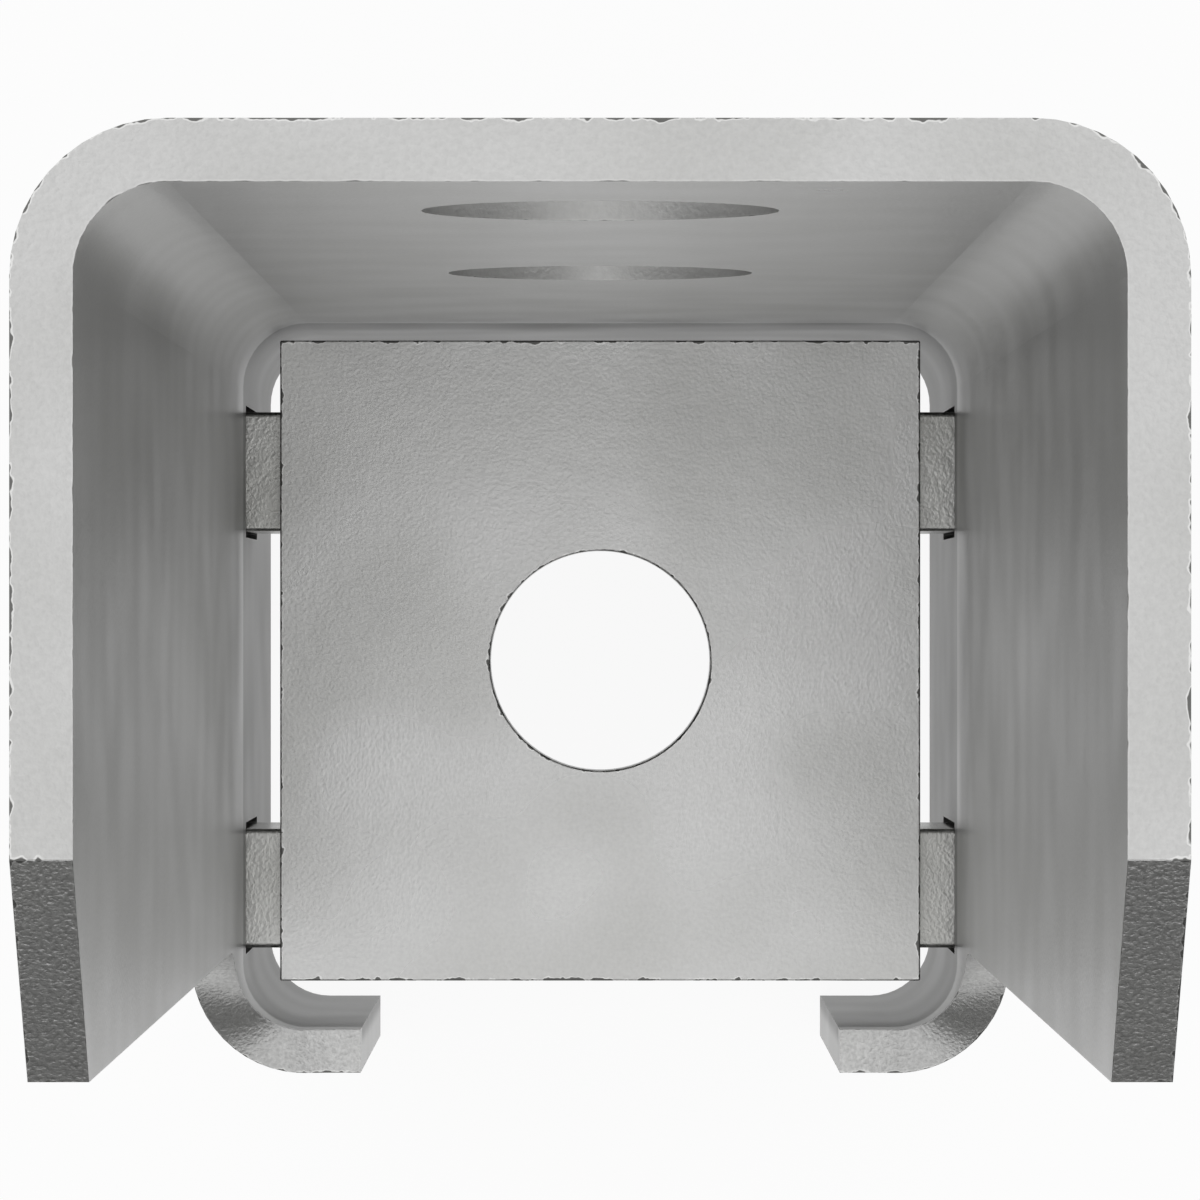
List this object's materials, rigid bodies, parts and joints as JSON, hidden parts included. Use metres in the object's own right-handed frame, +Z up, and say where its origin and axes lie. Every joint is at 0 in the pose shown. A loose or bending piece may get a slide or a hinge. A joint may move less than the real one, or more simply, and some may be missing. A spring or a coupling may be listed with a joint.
{
  "type": "hold down bracket",
  "caption": "Bolted hold down: a folded steel channel with two bolt holes in its back, whose seat bars and bearing plate anchor a timber post to a rod in the foundation.",
  "frame": {"origin": "centre of the foot, at the middle of the box's underside", "axes": "+Z up along the channel to its top end, +Y out of the back's flat outer face, which lies on the post, +X across the channel; the open front with its two lips faces -Y"},
  "size_m": [0.0636, 0.0628, 0.2381],
  "materials": {
    "galvanised_sheet": "hot dip galvanised, matt grey with fine streaks along the fold",
    "galvanised_bar": "hot dip galvanised, pebbled",
    "galvanised_plate": "hot dip galvanised, finely pebbled"
  },
  "bodies": {
    "root": {"body_channel": "galvanised_sheet", "rear_seat_bar": "galvanised_bar", "front_seat_bar": "galvanised_bar", "bearing_plate": "galvanised_plate"}
  },
  "joints": []
}
